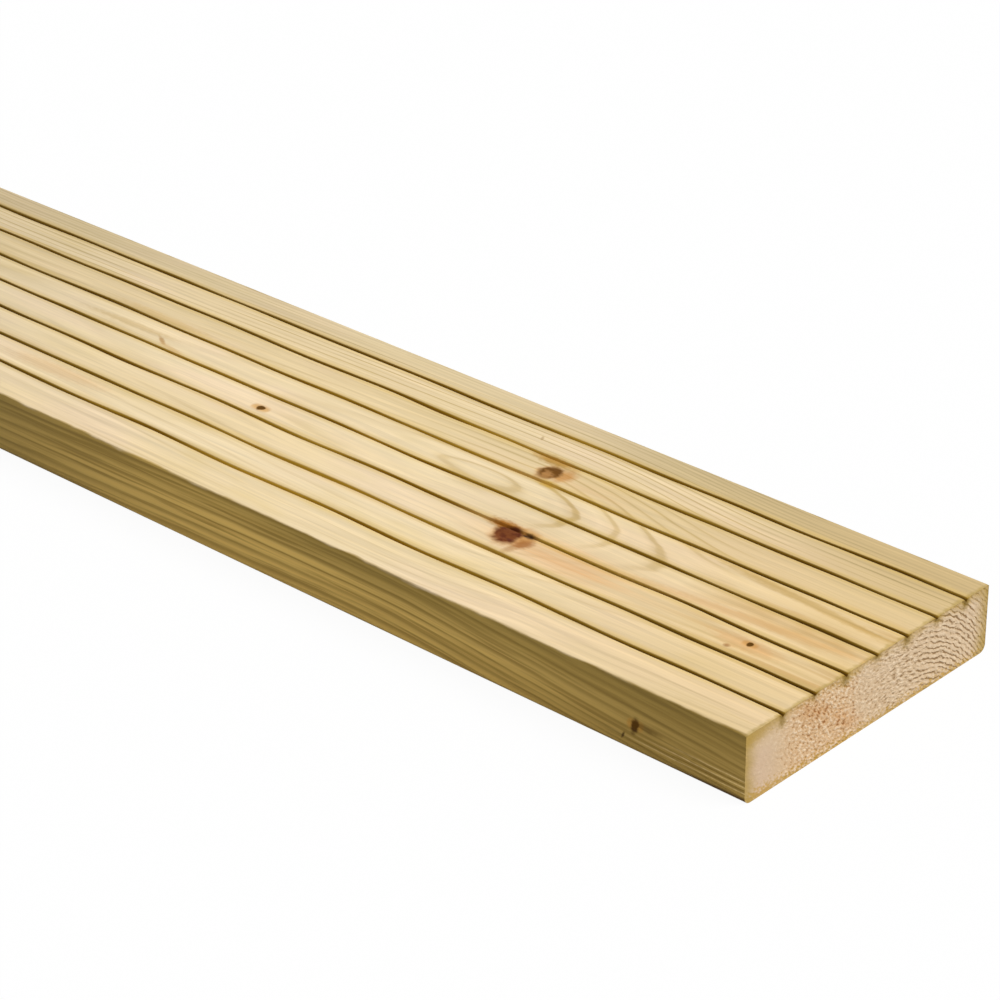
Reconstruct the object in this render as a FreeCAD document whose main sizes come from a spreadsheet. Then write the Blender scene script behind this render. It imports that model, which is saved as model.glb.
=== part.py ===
# Softwood decking board: one straight piece of planed stock with a grooved walking face.
# It lies flat, grooves up: X runs along the board, Y across it, Z up from its underside.

import FreeCAD
import Part
import Sketcher
import os

doc = FreeCAD.newDocument("decking_board")

# Driving sizes, in millimetres.
SIZES = {
    # The planed blank
    "board_length": 1800,
    "board_width": 140,
    "board_thickness": 28,
    # Rounding of the long edges, under the board and beside the walking face
    "under_arris_radius": 3,
    "upper_arris_radius": 0.6,
    # Anti-slip grooves: how many, and how far the outer ones lie from the long edges
    "groove_count": 7,
    "front_edge_to_groove": 20,
    "back_edge_to_groove": 14,
    # One groove: a narrow V with a rounded root and eased lips
    "groove_mouth": 2.2,
    "groove_depth": 1.5,
    "groove_root_radius": 0.4,
    "groove_lip_radius": 0.4,
}

sizes = doc.addObject("Spreadsheet::Sheet", "sizes")
for row, (name, value) in enumerate(SIZES.items(), start=1):
    sizes.set(f"A{row}", name)
    sizes.set(f"B{row}", str(value))
    sizes.setAlias(f"B{row}", name)
doc.recompute()

board = doc.addObject("PartDesign::Body", "decking_board")
board.Label = "decking_board"

TOLERANCE = 1e-3

# How a sketch numbers the points of a line or arc, and its own origin
START = 1
END = 2
CENTRE = 3
ORIGIN = (-1, START)


def origin_feature(role):
    """The body's own plane or axis of that role."""
    return next(feature for feature in board.Origin.OriginFeatures if feature.Role == role)


def cross_section(name):
    """A sketch across the board: its x is the board's Y, its y the board's Z."""
    sketch = board.newObject("Sketcher::SketchObject", name)
    sketch.AttachmentSupport = (origin_feature("YZ_Plane"), "")
    sketch.MapMode = "FlatFace"
    return sketch


def constrain(sketch, *relation):
    """Adds a relation between the lines and points of a sketch."""
    return sketch.addConstraint(Sketcher.Constraint(*relation))


def dimension(sketch, name, expression, *measure):
    """Adds a measure to a sketch and ties it to the sheet."""
    sketch.renameConstraint(constrain(sketch, *measure), name)
    sketch.setExpression(f"Constraints.{name}", expression)


def is_on_face(point):
    return point.z > sizes.board_thickness - TOLERANCE


def is_on_underside(point):
    return point.z < TOLERANCE


def is_groove_lip(point):
    half_mouth = sizes.groove_mouth / 2 + TOLERANCE
    front = sizes.front_edge_to_groove - sizes.board_width / 2 - half_mouth
    back = sizes.board_width / 2 - sizes.back_edge_to_groove + half_mouth
    return is_on_face(point) and front < point.y < back


def round_edges(name, base, wanted, radius):
    """Rounds the full-length edges of a feature whose middle points are wanted."""
    edge_names = []
    for number, edge in enumerate(base.Shape.Edges, start=1):
        full_length = edge.BoundBox.XLength > sizes.board_length - TOLERANCE
        if full_length and wanted(edge.CenterOfMass):
            edge_names.append(f"Edge{number}")
    rounding = board.newObject("PartDesign::Fillet", name)
    rounding.Base = (base, edge_names)
    rounding.setExpression("Radius", radius)
    doc.recompute()
    return rounding


# The blank: a rectangle that stands on the underside, centred across the board and swept along it.
half_width = sizes.board_width / 2
face_height = sizes.board_thickness
corners = [
    FreeCAD.Vector(-half_width, 0),
    FreeCAD.Vector(half_width, 0),
    FreeCAD.Vector(half_width, face_height),
    FreeCAD.Vector(-half_width, face_height),
]
UNDERSIDE, BACK_EDGE, FACE, FRONT_EDGE = range(len(corners))

blank_section = cross_section("blank_section")
for corner, next_corner in zip(corners, corners[1:] + corners[:1]):
    blank_section.addGeometry(Part.LineSegment(corner, next_corner))
constrain(blank_section, "Coincident", UNDERSIDE, END, BACK_EDGE, START)
constrain(blank_section, "Coincident", BACK_EDGE, END, FACE, START)
constrain(blank_section, "Coincident", FACE, END, FRONT_EDGE, START)
constrain(blank_section, "Coincident", FRONT_EDGE, END, UNDERSIDE, START)
constrain(blank_section, "Horizontal", UNDERSIDE)
constrain(blank_section, "Horizontal", FACE)
constrain(blank_section, "Vertical", BACK_EDGE)
constrain(blank_section, "Vertical", FRONT_EDGE)
constrain(blank_section, "Symmetric", UNDERSIDE, START, UNDERSIDE, END, *ORIGIN)
dimension(
    blank_section, "width", "sizes.board_width",
    "DistanceX", UNDERSIDE, START, UNDERSIDE, END, sizes.board_width,
)
dimension(
    blank_section, "thickness", "sizes.board_thickness",
    "DistanceY", BACK_EDGE, START, BACK_EDGE, END, sizes.board_thickness,
)

blank = board.newObject("PartDesign::Pad", "blank")
blank.Profile = blank_section
blank.SideType = "Symmetric"
blank.setExpression("Length", "sizes.board_length")
doc.recompute()

# The arrises: the planer heads round the long edges, more under the board than beside the face.
under_arrises = round_edges("under_arrises", blank, is_on_underside, "sizes.under_arris_radius")
upper_arrises = round_edges("upper_arrises", under_arrises, is_on_face, "sizes.upper_arris_radius")

# The groove nearest the front edge: two walls that run into the root arc, closed along the face.
first_groove_y = sizes.front_edge_to_groove - half_width
half_mouth = sizes.groove_mouth / 2
root_radius = sizes.groove_root_radius
mouth_middle = FreeCAD.Vector(first_groove_y, face_height)
front_lip = mouth_middle - FreeCAD.Vector(half_mouth, 0)
back_lip = mouth_middle + FreeCAD.Vector(half_mouth, 0)
root_centre = mouth_middle - FreeCAD.Vector(0, sizes.groove_depth - root_radius)
root_front = root_centre - FreeCAD.Vector(root_radius, 0)
root_bottom = root_centre - FreeCAD.Vector(0, root_radius)
root_back = root_centre + FreeCAD.Vector(root_radius, 0)

groove_section = cross_section("groove_section")
FRONT_WALL = groove_section.addGeometry(Part.LineSegment(front_lip, root_front))
ROOT = groove_section.addGeometry(Part.Arc(root_front, root_bottom, root_back))
BACK_WALL = groove_section.addGeometry(Part.LineSegment(root_back, back_lip))
MOUTH = groove_section.addGeometry(Part.LineSegment(back_lip, front_lip))
MIDDLE_LINE = groove_section.addGeometry(Part.LineSegment(root_centre, mouth_middle), True)
constrain(groove_section, "Tangent", FRONT_WALL, END, ROOT, START)
constrain(groove_section, "Tangent", ROOT, END, BACK_WALL, START)
constrain(groove_section, "Coincident", BACK_WALL, END, MOUTH, START)
constrain(groove_section, "Coincident", MOUTH, END, FRONT_WALL, START)
constrain(groove_section, "Coincident", MIDDLE_LINE, START, ROOT, CENTRE)
constrain(groove_section, "Symmetric", MOUTH, START, MOUTH, END, MIDDLE_LINE, END)
constrain(groove_section, "Vertical", MIDDLE_LINE)
constrain(groove_section, "Horizontal", MOUTH)
dimension(
    groove_section, "mouth", "sizes.groove_mouth",
    "DistanceX", MOUTH, END, MOUTH, START, sizes.groove_mouth,
)
dimension(
    groove_section, "root_radius", "sizes.groove_root_radius",
    "Radius", ROOT, sizes.groove_root_radius,
)
dimension(
    groove_section, "root_centre_depth", "sizes.groove_depth - sizes.groove_root_radius",
    "DistanceY", MIDDLE_LINE, START, MIDDLE_LINE, END, sizes.groove_depth - root_radius,
)
dimension(
    groove_section, "face_height", "sizes.board_thickness",
    "DistanceY", *ORIGIN, MIDDLE_LINE, END, sizes.board_thickness,
)
dimension(
    groove_section, "from_middle", "sizes.board_width / 2 - sizes.front_edge_to_groove",
    "DistanceX", MIDDLE_LINE, END, *ORIGIN, -first_groove_y,
)

first_groove = board.newObject("PartDesign::Pocket", "first_groove")
first_groove.Profile = groove_section
first_groove.Type = "ThroughAll"
first_groove.SideType = "Symmetric"
doc.recompute()

# The rest of the grooves, evenly spaced from the first to the one nearest the back edge.
grooves = board.newObject("PartDesign::LinearPattern", "grooves")
grooves.Originals = [first_groove]
grooves.Direction = (origin_feature("Y_Axis"), [""])
grooves.Mode = "Extent"
grooves.setExpression("Length", "sizes.board_width - sizes.front_edge_to_groove - sizes.back_edge_to_groove")
grooves.setExpression("Occurrences", "sizes.groove_count")
board.Tip = grooves
doc.recompute()

# Eased lips, so that the lands don't splinter along the grooves.
board.Tip = round_edges("groove_lips", grooves, is_groove_lip, "sizes.groove_lip_radius")
doc.recompute()

for item in doc.Objects:
    if "Invalid" in item.State or "Error" in item.State:
        raise RuntimeError(f"{item.Name} did not build: {item.State}")
if board.Shape.isNull() or not board.Shape.isValid():
    raise RuntimeError("the board's solid is not valid")
steps = [blank, under_arrises, upper_arrises, first_groove, grooves, board.Tip]
for step, next_step in zip(steps, steps[1:]):
    if next_step.Shape.Volume >= step.Shape.Volume:
        raise RuntimeError(f"{next_step.Name} removed no wood")

os.makedirs("parts", exist_ok=True)
board.Shape.exportStep(f"parts/{board.Label}.step")
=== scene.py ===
import math
import random

import bpy
from mathutils import Matrix, Vector, geometry, noise


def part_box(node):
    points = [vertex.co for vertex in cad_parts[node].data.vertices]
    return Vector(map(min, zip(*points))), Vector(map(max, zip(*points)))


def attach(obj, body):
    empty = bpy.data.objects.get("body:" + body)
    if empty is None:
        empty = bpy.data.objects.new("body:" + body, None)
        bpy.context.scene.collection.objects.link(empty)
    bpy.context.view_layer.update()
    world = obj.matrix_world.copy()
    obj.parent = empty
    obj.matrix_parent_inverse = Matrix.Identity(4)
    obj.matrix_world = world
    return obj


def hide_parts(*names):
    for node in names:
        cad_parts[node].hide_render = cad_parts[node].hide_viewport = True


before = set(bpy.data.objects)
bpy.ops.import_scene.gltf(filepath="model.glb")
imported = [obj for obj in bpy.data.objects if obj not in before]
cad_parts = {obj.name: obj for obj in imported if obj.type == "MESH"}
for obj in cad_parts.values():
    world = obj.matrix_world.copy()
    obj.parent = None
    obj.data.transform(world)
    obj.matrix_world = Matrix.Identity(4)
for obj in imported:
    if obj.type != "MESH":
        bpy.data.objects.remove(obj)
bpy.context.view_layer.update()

# Decking board
# One length of pine, sawn from beside the heart of a small trunk, planed on four sides, grooved along the
# walking face and cross-cut square. Pressure treatment then stains its edges, grooves and ends green-brown.

MM = 0.001
low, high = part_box("decking_board")

# Section, in millimetres: a planed rectangle with rounded long edges and narrow V grooves with eased lips
LENGTH = (high.x - low.x) / MM
WIDTH = (high.y - low.y) / MM
THICKNESS = (high.z - low.z) / MM
UNDER_ARRIS = 3.0
UPPER_ARRIS = 0.6
GROOVE_COUNT = 7
FRONT_EDGE_TO_GROOVE = 20.0
BACK_EDGE_TO_GROOVE = 14.0
GROOVE_PITCH = (WIDTH - FRONT_EDGE_TO_GROOVE - BACK_EDGE_TO_GROOVE) / (GROOVE_COUNT - 1)
GROOVE_MOUTH = 2.2
GROOVE_DEPTH = 1.5
GROOVE_ROOT = 0.4
GROOVE_LIP = 0.4

# Steps of the mesh round each kind of corner
UNDER_ARRIS_STEPS = 6
UPPER_ARRIS_STEPS = 4
GROOVE_ROOT_STEPS = 4
GROOVE_LIP_STEPS = 3


def arc(centre, radius, start, sweep, steps):
    """Points round a corner of the section, from a start angle through a sweep, both in degrees."""
    angles = [math.radians(start + sweep * step / steps) for step in range(steps + 1)]
    return [(centre[0] + radius * math.cos(angle), centre[1] + radius * math.sin(angle)) for angle in angles]


def groove_arcs(middle):
    """The two lips and the root of a groove, from its back lip to its front lip."""
    half_mouth = GROOVE_MOUTH / 2
    root_centre = GROOVE_DEPTH - GROOVE_ROOT
    lean = math.atan2(half_mouth, root_centre) - math.asin(GROOVE_ROOT / math.hypot(half_mouth, root_centre))
    lip_centre = half_mouth + GROOVE_LIP * (1 - math.sin(lean)) / math.cos(lean)
    lip_sweep = 90 - math.degrees(lean)
    lip_height = THICKNESS - GROOVE_LIP
    root = (middle, THICKNESS - root_centre)
    return [
        arc((middle + lip_centre, lip_height), GROOVE_LIP, 90, lip_sweep, GROOVE_LIP_STEPS),
        arc(root, GROOVE_ROOT, -math.degrees(lean), -2 * lip_sweep, GROOVE_ROOT_STEPS),
        arc((middle - lip_centre, lip_height), GROOVE_LIP, 90 - lip_sweep, lip_sweep, GROOVE_LIP_STEPS),
    ]


# The section's outline as seen from the near end: back edge, face from back to front, front edge, underside
half_width = WIDTH / 2
first_groove = half_width - BACK_EDGE_TO_GROOVE
groove_middles = [first_groove - GROOVE_PITCH * number for number in range(GROOVE_COUNT)]
under_centre = half_width - UNDER_ARRIS
upper_centre = half_width - UPPER_ARRIS
corners = [
    arc((under_centre, UNDER_ARRIS), UNDER_ARRIS, -90, 90, UNDER_ARRIS_STEPS),
    arc((upper_centre, THICKNESS - UPPER_ARRIS), UPPER_ARRIS, 0, 90, UPPER_ARRIS_STEPS),
]
for middle in groove_middles:
    corners += groove_arcs(middle)
corners.append(arc((-upper_centre, THICKNESS - UPPER_ARRIS), UPPER_ARRIS, 90, 90, UPPER_ARRIS_STEPS))
corners.append(arc((-under_centre, UNDER_ARRIS), UNDER_ARRIS, 180, 90, UNDER_ARRIS_STEPS))

# Points between the corners, further apart on the plain underside
FINE_SPACING = 2.6
PLAIN_SPACING = 8.0
outline = []
corner_starts = []
for corner, next_corner in zip(corners, corners[1:] + corners[:1]):
    corner_starts.append(len(outline))
    outline += corner
    start = Vector(corner[-1])
    run = Vector(next_corner[0]) - start
    underneath = start.y < UPPER_ARRIS
    steps = math.ceil(run.length / (PLAIN_SPACING if underneath else FINE_SPACING))
    outline += [tuple(start + run * step / steps) for step in range(1, steps)]

# Places along the board: closest at the near end, which the camera looks at, and close again at the far end
STATIONS = 425
STATION_CROWDING = 1.4
FAR_END_GAPS = (3.0, 1.5, 0.5, 0.0)
stations = [LENGTH * (step / STATIONS) ** STATION_CROWDING for step in range(STATIONS)]
stations += [LENGTH - gap for gap in FAR_END_GAPS]
stations.sort()


def drift(seed, place, *scales):
    """Smooth seeded wandering between -1 and 1, with a size in millimetres for each direction of a place."""
    scaled = [distance / scale for distance, scale in zip(place, scales)]
    return noise.noise(Vector(scaled + [0.0] * (2 - len(scales)) + [seed]))


def ease(value, start, end):
    """0 before the start, 1 after the end and a soft step between them."""
    share = min(1, max(0, (value - start) / (end - start)))
    return share * share * (3 - 2 * share)


# How far the saw tore the upper edge of an end: its reach along the board, its depth between and at
# grooves, how wide that is at a groove, and how much of a groove's end the torn fibres fill, each with the
# width of its tufts
TEAR_REACH = 2.0
TEAR_DEPTH = 0.25
TEAR_TUFT = 4.5
TEAR_AT_GROOVE = 0.2
TEAR_SPREAD = 2.5
GROOVE_TEAR_TUFT = 2
GROOVE_FUR = 0.45
GROOVE_FUR_TUFT = 1.5

# Unevenness of the planed face, as an amount and the stretch of board over which it comes and goes: how
# much of its width a groove gains, how far it wanders before it straightens towards an end, how much of its
# depth it gains, and how rough it and the lands are
GROOVE_WIDENING = 0.4
WIDENING_STRETCH = 45
GROOVE_WANDER = 0.9
WANDER_STRETCH = 50
STRAIGHT_END = 30
GROOVE_DEEPENING = 0.12
DEEPENING_STRETCH = 130
GROOVE_ROUGHNESS = 0.06
GROOVE_GRAIN = (5, 1)
LAND_WAVE = 0.05
LAND_WAVE_SIZES = (60, 18)

# What lies less deep than these belongs to the grooved face, and to a land of it
FACE_DEPTH = GROOVE_DEPTH + 0.1
LAND_DEPTH = 0.001


def section_at(from_end):
    """The outline at one place along the board, with a planed board's small unevenness, in millimetres."""
    from_cut = min(from_end, LENGTH - from_end)
    points = []
    for across, height in outline:
        groove = min(range(GROOVE_COUNT), key=lambda number: abs(across - groove_middles[number]))
        off_middle = across - groove_middles[groove]
        depth = THICKNESS - height
        if depth < FACE_DEPTH and from_cut < TEAR_REACH:
            torn_share = 1 - from_cut / TEAR_REACH
            at_groove = math.exp(-(off_middle / TEAR_SPREAD) ** 2)
            tear = TEAR_DEPTH * (0.5 + drift(80, [across], TEAR_TUFT))
            tear += TEAR_AT_GROOVE * (1 + drift(90, [across], GROOVE_TEAR_TUFT)) * at_groove
            height -= max(0, tear) * torn_share ** 2
            height += GROOVE_FUR * depth * torn_share * (1 + drift(95, [across], GROOVE_FUR_TUFT))
        if depth < FACE_DEPTH and abs(off_middle) < GROOVE_MOUTH:
            across += GROOVE_WIDENING * drift(10 + groove, [from_end], WIDENING_STRETCH) * off_middle
            wander = GROOVE_WANDER * drift(groove, [from_end], WANDER_STRETCH)
            across += wander * ease(from_cut, 0, STRAIGHT_END)
            height -= depth * GROOVE_DEEPENING * drift(20 + groove, [from_end], DEEPENING_STRETCH)
            rough = GROOVE_ROUGHNESS * drift(40 + groove, [from_end, across], *GROOVE_GRAIN)
            height -= rough * min(1, depth)
        if depth < LAND_DEPTH:
            height += LAND_WAVE * drift(60, [from_end, across], *LAND_WAVE_SIZES)
        points.append((from_end, across, height))
    return points


spots = []
for from_end in stations:
    spots += section_at(from_end)

faces = []
round_count = len(outline)
for station in range(len(stations) - 1):
    for point in range(round_count):
        following = (point + 1) % round_count
        near, far = station * round_count, (station + 1) * round_count
        faces.append((near + point, far + point, far + following, near + following))
long_faces = len(faces)

# A sawn end's net: how far its points stray, and how far they keep from the rim, in spacings. Its fur lies
# a little inside the cut, and is softer along the front edge than behind it
NET_STRAY = 0.3
NET_CLEARANCE = 0.6
NET_TOLERANCE = 1e-6
INSIDE_RIM = 1
FUR_INSET = 0.15
FUR_RELIEF = 0.2
FUR_GRAIN = (1.2, 1.0)
FRONT_SOFTNESS = 0.25
SOFT_UNTIL = -50
ROUGH_FROM = -36


def sawn_end(first_spot, outward, spacing, seed):
    """Closes an end with a fine net of triangles, in the furred relief that a cross-cut saw leaves."""
    rim = [Vector(spots[first_spot + point][1:]) for point in range(round_count)]
    dice = random.Random(seed)
    net = []
    for row in range(1, int(THICKNESS / spacing) + 1):
        for column in range(1, int(WIDTH / spacing) + 1):
            spot = Vector((column * spacing - half_width, row * spacing))
            stray = Vector((dice.uniform(-NET_STRAY, NET_STRAY), dice.uniform(-NET_STRAY, NET_STRAY)))
            spot += stray * spacing
            if all((spot - edge).length > NET_CLEARANCE * spacing for edge in rim):
                net.append(spot)
    rim_loop = list(range(round_count))
    made = geometry.delaunay_2d_cdt(rim + net, [], [rim_loop], INSIDE_RIM, NET_TOLERANCE)
    net_points, _, triangles, sources = made[:4]
    places = []
    for place, source in zip(net_points, sources):
        if source and min(source) < round_count:
            places.append(first_spot + min(source))
            continue
        rough = FRONT_SOFTNESS + (1 - FRONT_SOFTNESS) * ease(place.x, SOFT_UNTIL, ROUGH_FROM)
        fur = FUR_INSET - FUR_RELIEF * rough * drift(seed, place, *FUR_GRAIN)
        places.append(len(spots))
        spots.append((fur if outward > 0 else LENGTH - fur, place.x, place.y))
    for triangle in triangles:
        loop = [places[corner] for corner in triangle]
        faces.append(loop if outward > 0 else loop[::-1])


last_station = len(stations) - 1
sawn_end(0, outward=1, spacing=0.65, seed=3)
near_end_faces = len(faces)
sawn_end(last_station * round_count, outward=-1, spacing=1.2, seed=4)

board_mesh = bpy.data.meshes.new("decking_board_wood")
vertices = [((LENGTH / 2 - from_end) * MM, across * MM, height * MM) for from_end, across, height in spots]
board_mesh.from_pydata(vertices, [], faces)
is_end_face = [number >= long_faces for number in range(len(faces))]
board_mesh.polygons.foreach_set("use_smooth", [not is_end for is_end in is_end_face])
board_mesh.polygons.foreach_set("material_index", [int(is_end) for is_end in is_end_face])
board = bpy.data.objects.new("decking_board_wood", board_mesh)
bpy.context.scene.collection.objects.link(board)

# Map for baking, in pixels: strips for each long side, cut where its edges are rounded and drawn larger
# over the stretch that the camera looks at, and the two ends side by side
MAP_SIDE = 1024
MAP_GAP = 8
MAP_END = (500, 104)
NEAR_STRETCH = 650
FACE_ROWS = (300, 230)
FRONT_EDGE_ROWS = (56, 44)
BACK_EDGE_ROWS = (44, 44)
UNDERSIDE_ROWS = 120
under_back, upper_back, upper_front, under_front = [
    corner_starts[number] + len(corners[number]) // 2 for number in (0, 1, -2, -1)]
cut_station = min(range(last_station), key=lambda number: abs(stations[number] - NEAR_STRETCH))
map_corners = {}


def lay_strip(first_row, rows, seams, first_station, end_station):
    """Lays the faces between two seams and two stations into rows of the map, and gives the next row."""
    points = range(*seams)
    lengths = [0.0]
    for point in points:
        side = math.dist(outline[point % round_count], outline[(point + 1) % round_count])
        lengths.append(lengths[-1] + side)
    start, stretch = stations[first_station], stations[end_station] - stations[first_station]
    for station in range(first_station, end_station):
        left, right = [MAP_GAP + (MAP_SIDE - 2 * MAP_GAP) * (stations[number] - start) / stretch
                       for number in (station, station + 1)]
        for number, point in enumerate(points):
            lower, upper = [first_row + rows * lengths[step] / lengths[-1] for step in (number, number + 1)]
            map_corners[station * round_count + point % round_count] = [
                left, lower, right, lower, right, upper, left, upper]
    return first_row + rows + MAP_GAP


map_row = MAP_GAP
for seams, (near_rows, far_rows) in (
    ((upper_back, upper_front), FACE_ROWS),
    ((upper_front, under_front), FRONT_EDGE_ROWS),
    ((under_back, upper_back), BACK_EDGE_ROWS),
):
    map_row = lay_strip(map_row, near_rows, seams, 0, cut_station)
    map_row = lay_strip(map_row, far_rows, seams, cut_station, last_station)
map_row = lay_strip(map_row, UNDERSIDE_ROWS, (under_front, under_back + round_count), 0, last_station)
for number in range(long_faces, len(faces)):
    left = MAP_GAP if number < near_end_faces else 2 * MAP_GAP + MAP_END[0]
    map_corners[number] = []
    for corner in faces[number]:
        across, height = spots[corner][1:]
        map_corners[number].append(left + MAP_END[0] * (across + half_width) / WIDTH)
        map_corners[number].append(map_row + MAP_END[1] * height / THICKNESS)
bake_map = board_mesh.uv_layers.new(name="OFBake")
map_pixels = [pixel for number in range(len(faces)) for pixel in map_corners[number]]
bake_map.data.foreach_set("uv", [pixel / MAP_SIDE for pixel in map_pixels])

# How the trunk grew, in millimetres: its heart runs under the board, and its rings are wider in front
HEART_ACROSS = 10.0
HEART_HEIGHT = -50.0
FIRST_RING = 55.0
RING_WIDTH = 2.34
RING_LEAN = -1.13

# Whorls of branches, where the rings swell: how far from the near end, and by how much. The swelling has
# a reach and a power before and after a whorl, and branches lean to the near end as they grow outwards
WHORLS = [(198, 8.6), (650, 8.0), (1050, 9.0), (1460, 8.0)]
SWELL_BEFORE = (81, 2.8)
SWELL_AFTER = (264, 1.39)
BRANCH_LEAN = 0.3

# The swelling eases off across the board by a share, between two places towards the back and the front edge
SWELL_EASE = 0.4
EASE_TO_BACK = (15, 60)
EASE_TO_FRONT = (56, half_width)

# A dimple in the rings, which the face cuts into a closed loop: how far from the near end, and across, how
# high, and how far it reaches both ways
DIMPLE = (198, 11.5)
DIMPLE_HEIGHT = 1.8
DIMPLE_REACH = (29, 6)

# Along the front edge the rings keep falling to the near end: from how far, how steeply and how gradually
FALL_START = 100
FALL_SLOPE = 0.065
FALL_ROUNDING = 20

# Branches that cross the board as knots: how far from the near end, where they come out of the face or
# edge (across the board and up), their radius there, how dark they are and how much they redden the wood
KNOTS = [
    (156.6, -19.5, THICKNESS, 5.6, 0.7, 1.0),
    (178.0, 28.0, THICKNESS, 4.6, 0.45, 0.4),
    (303.0, -8.0, THICKNESS, 1.8, 1.0, 0.1),
    (37.5, -21.8, THICKNESS, 1.3, 1.0, 0.4),
    (49.4, -half_width, 11.8, 1.4, 0.95, 0.4),
    (640.0, 38.0, THICKNESS, 5.5, 0.6, 0.5),
    (658.0, -31.0, THICKNESS, 4.0, 0.7, 0.3),
    (1032.0, 8.0, THICKNESS, 6.0, 0.5, 0.6),
    (1052.0, half_width, 15.0, 4.5, 0.7, 0.2),
    (1446.0, -44.0, THICKNESS, 5.0, 0.7, 0.5),
    (1464.0, 21.0, THICKNESS, 3.0, 0.5, 0.2),
    (1690.0, -12.0, THICKNESS, 2.2, 1.0, 0.1),
]

# Round a knot: how fast its push on rings and fibres falls off, along and around in its radii, and how
# strong it is; how fast its blush falls off, and how many radii that lies towards the near end; and where
# the grooves' stain spreads, in millimetres, and from which radius fully. All of it ends at a knot's reach
# along the board, and a point with no knot in reach counts as far off
PUSH_FALL = (0.36, 0.7)
RING_PUSH = 0.1
FIBRE_PUSH = 0.8
BLUSH_FALL = (0.12, 0.5)
BLUSH_SHIFT = 5
STAIN_SHIFT = 8
STAIN_REACH = (26, 14)
FULL_STAIN_RADIUS = 5
KNOT_REACH = 200
FAR_OFF = 99.0


def hill(*slopes):
    """A soft bump that is 1 in the middle and falls off as any of its slopes grows."""
    return (1 + sum(slope * slope for slope in slopes)) ** -2


def growth(from_end, across, height):
    """How the wood grew at a point: its ring, its place round that ring and its distance from the heart; its
    place in the nearest knot and how dark that is; how far off that knot is, in its radii, how red the wood
    is and how much the knots spread the grooves' stain; and how far the fibres give way to knots."""
    radius = math.hypot(across - HEART_ACROSS, height - HEART_HEIGHT)
    angle = math.atan2(across - HEART_ACROSS, height - HEART_HEIGHT)
    bulge = 0.0
    for whorl, most in WHORLS:
        spread, power = SWELL_BEFORE if from_end < whorl else SWELL_AFTER
        bulge += most * math.exp(-abs((from_end - whorl) / spread) ** power)
    bulge *= 1 - SWELL_EASE * ease(across, *EASE_TO_BACK)
    at_front = ease(-across, *EASE_TO_FRONT)
    bulge *= 1 - SWELL_EASE * at_front
    from_dimple = (from_end - DIMPLE[0], across - DIMPLE[1])
    bulge += DIMPLE_HEIGHT * hill(*(gap / reach for gap, reach in zip(from_dimple, DIMPLE_REACH)))
    falling = max(0, FALL_START - from_end)
    bulge -= FALL_SLOPE * falling * falling / (falling + FALL_ROUNDING) * at_front

    nearest = (FAR_OFF, FAR_OFF, 0.0)
    nearest_gap = FAR_OFF
    red = 0.0
    spread_stain = 0.0
    give = 0.0
    for knot_end, knot_across, knot_height, knot_radius, dark, redden in KNOTS:
        knot_angle = math.atan2(knot_across - HEART_ACROSS, knot_height - HEART_HEIGHT)
        knot_depth = math.hypot(knot_across - HEART_ACROSS, knot_height - HEART_HEIGHT)
        along = from_end - knot_end + BRANCH_LEAN * (radius - knot_depth)
        if abs(along) > KNOT_REACH:
            continue
        around = (angle - knot_angle) * radius
        size = knot_radius * radius / knot_depth
        radii_along, radii_around = along / size, around / size
        gap = math.hypot(radii_along, radii_around)
        if gap < nearest_gap:
            nearest = (radii_along, radii_around, dark)
            nearest_gap = gap
        push = hill(PUSH_FALL[0] * radii_along, PUSH_FALL[1] * radii_around)
        bulge += RING_PUSH * knot_radius * push
        give -= FIBRE_PUSH * push * around
        red += redden * hill(BLUSH_FALL[0] * (radii_along + BLUSH_SHIFT), BLUSH_FALL[1] * radii_around)
        stain = hill((along - STAIN_SHIFT) / STAIN_REACH[0], around / STAIN_REACH[1])
        spread_stain += min(1, knot_radius / FULL_STAIN_RADIUS) ** 2 * stain
    ring = (radius - bulge - FIRST_RING) / (RING_WIDTH + RING_LEAN * angle)
    return (ring, angle * radius, radius), nearest, (nearest_gap, red, spread_stain), give


grown = [growth(*spot) for spot in spots]
for name, part in (("growth_rings", 0), ("nearest_knot", 1), ("around_knots", 2)):
    layer = board_mesh.attributes.new(name, "FLOAT_VECTOR", "POINT")
    layer.data.foreach_set("vector", [number for point in grown for number in point[part]])
layer = board_mesh.attributes.new("fibre_shift", "FLOAT", "POINT")
layer.data.foreach_set("value", [point[3] for point in grown])


def colour(code):
    """Linear colour of an sRGB hex value."""
    shares = [int(code[place:place + 2], 16) / 255 for place in (0, 2, 4)]
    linear = [share / 12.92 if share <= 0.04045 else ((share + 0.055) / 1.055) ** 2.4 for share in shares]
    return linear + [1.0]


# What a second word in a node's kind sets
MAIN_SETTING = {
    "Attribute": "attribute_name",
    "Mapping": "vector_type",
    "MapRange": "interpolation_type",
    "Math": "operation",
    "Mix": "data_type",
    "TexWhiteNoise": "noise_dimensions",
    "VectorMath": "operation",
}


def add(tree, kind, *values, **named):
    """Adds a node to a material. A second word in its kind is its main setting. Values go to its inputs in
    order, and named ones to the inputs so called: each is a number or colour, a socket, or a node, of which
    the first output is linked."""
    kind, *setting = kind.split()
    made = tree.nodes.new("ShaderNode" + kind)
    for word in setting:
        setattr(made, MAIN_SETTING[kind], word)
    wanted = list(zip([socket for socket in made.inputs if socket.enabled], values))
    wanted += [(made.inputs[name.replace("_", " ")], value) for name, value in named.items()]
    for socket, value in wanted:
        if isinstance(value, bpy.types.Node):
            value = next(output for output in value.outputs if output.enabled)
        if isinstance(value, bpy.types.NodeSocket):
            tree.links.new(value, socket)
        else:
            socket.default_value = value
    return made


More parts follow.
